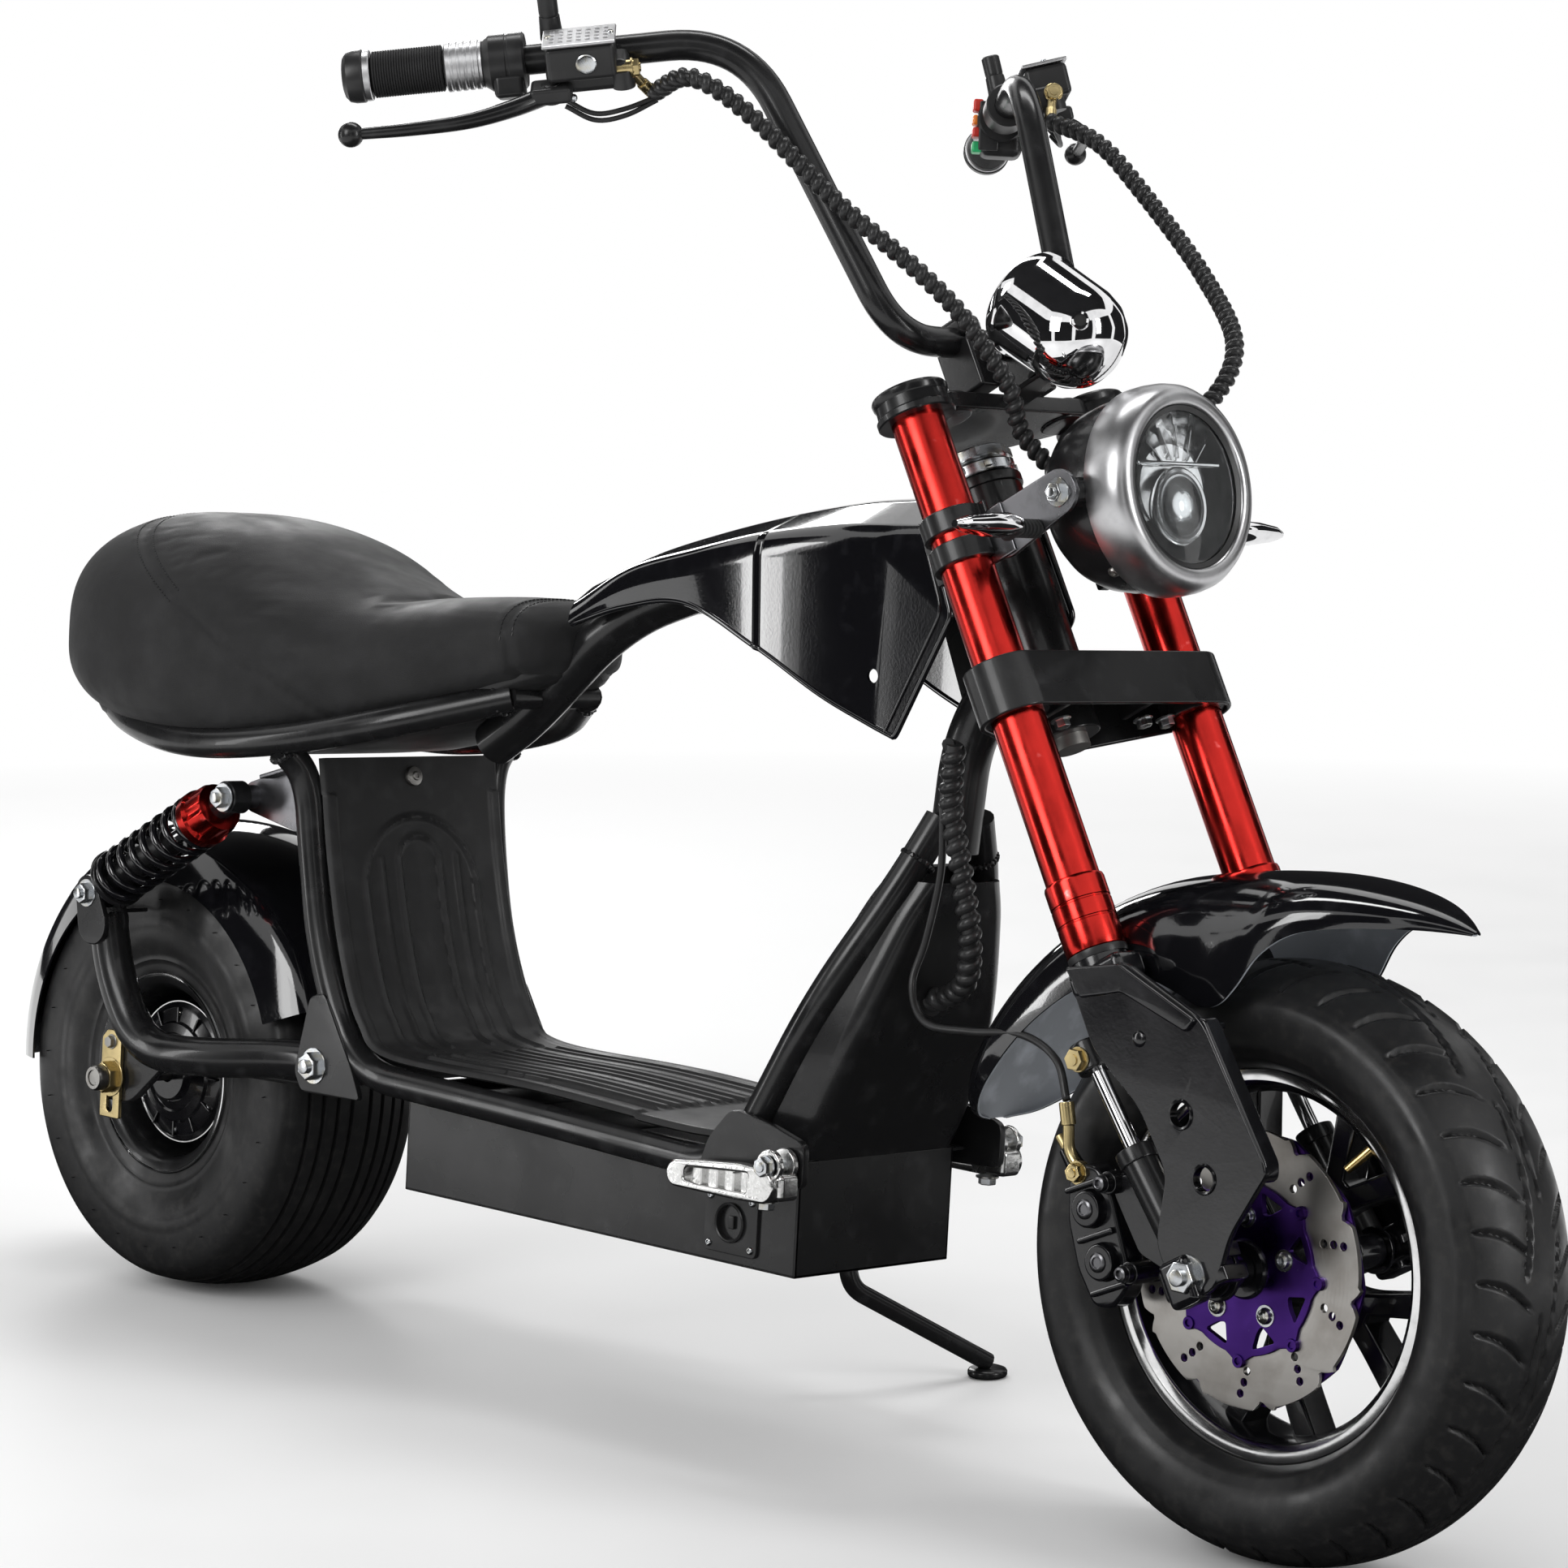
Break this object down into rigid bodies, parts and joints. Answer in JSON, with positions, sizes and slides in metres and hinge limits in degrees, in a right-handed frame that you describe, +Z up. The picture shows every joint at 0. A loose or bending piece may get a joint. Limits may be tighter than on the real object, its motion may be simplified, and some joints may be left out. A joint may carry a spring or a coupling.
{
  "type": "electric scooter",
  "caption": "Small two-wheeled electric scooter with tall handlebars, padded seat, floor tray, hub motor, sprung rear arm and side stand.",
  "frame": {"origin": "on the ground, under the middle of the outer box of the parked scooter", "axes": "+X forwards, +Y to the scooter's left, +Z up; the scooter leans 4.4 degrees to its left, on its side stand"},
  "size_m": [1.6086, 0.8018, 1.091],
  "materials": {
    "gloss_black": "gloss black paint",
    "satin_black": "satin black paint",
    "black_plastic": "matte black plastic",
    "battery_case": "black wrapped battery",
    "seat_leather": "grained black leather",
    "tyre_rubber": "black tyre rubber",
    "grip_rubber": "ribbed black rubber",
    "steel": "bare steel",
    "chrome": "polished chrome",
    "aluminium": "cast aluminium",
    "brass_plated": "yellow zinc plate",
    "red_anodised": "red anodised",
    "purple_anodised": "purple anodised",
    "clear_lens": "clear lens",
    "red_plastic": "clear red plastic"
  },
  "bodies": {
    "frame": {"backbone": "satin_black", "seat_rail": "satin_black", "side_tube_right": "satin_black", "side_tube_left": "satin_black", "battery_tray": "satin_black", "battery_pack": "battery_case", "charge_port": "black_plastic", "footboard": "black_plastic", "front_shield": "satin_black", "body_cover": "gloss_black", "seat_cushion": "seat_leather", "tail_light": "red_plastic", "swing_arm": "satin_black", "swing_pivot_bolt": "steel", "rear_axle": "brass_plated", "rear_fender": "gloss_black", "shock_right": "satin_black", "shock_left": "satin_black", "foot_peg_right": "aluminium", "foot_peg_left": "aluminium", "frame_harness": "black_plastic"},
    "steering": {"fork_tube_right": "red_anodised", "fork_tube_left": "red_anodised", "fork_leg_right": "satin_black", "fork_leg_left": "satin_black", "lower_clamp": "satin_black", "top_clamp": "satin_black", "handlebar": "satin_black", "throttle_grip": "grip_rubber", "left_grip": "grip_rubber", "switch_cluster": "black_plastic", "brake_lever_right": "satin_black", "brake_lever_left": "satin_black", "headlight_bucket": "satin_black", "headlight_bezel": "chrome", "headlight_lens": "clear_lens", "headlight_ear_right": "steel", "headlight_ear_left": "steel", "speedometer": "chrome", "front_axle": "steel", "brake_caliper": "satin_black", "front_fender": "gloss_black", "cable_bundle_right": "black_plastic", "cable_bundle_left": "black_plastic"},
    "front_wheel": {"front_tyre": "tyre_rubber", "front_rim": "satin_black", "brake_disc": "steel", "disc_carrier": "purple_anodised"},
    "rear_wheel": {"rear_tyre": "tyre_rubber", "rear_rim": "satin_black", "hub_motor": "satin_black"},
    "stand": {"side_stand": "satin_black"}
  },
  "joints": [
    {"name": "steering_head", "type": "hinge", "parent": "frame", "child": "steering", "pos_m": [0.55886, -0.06881, 0.19054], "axis": [-0.4811, 0.0673, 0.8741], "range_deg": [-35, 35]},
    {"name": "front_wheel_spin", "type": "hinge", "parent": "steering", "child": "front_wheel", "pos_m": [0.59393, -0.06733, 0.20973], "axis": [0, 0.9971, -0.0767], "continuous": true},
    {"name": "rear_wheel_spin", "type": "hinge", "parent": "frame", "child": "rear_wheel", "pos_m": [-0.58907, -0.06914, 0.18619], "axis": [0, 0.9971, -0.0767], "continuous": true},
    {"name": "stand_fold", "type": "hinge", "parent": "frame", "child": "stand", "pos_m": [0.06593, 0.03005, 0.11964], "axis": [-0.3692, 0.9261, 0.0773], "range_deg": [0, 100]}
  ]
}
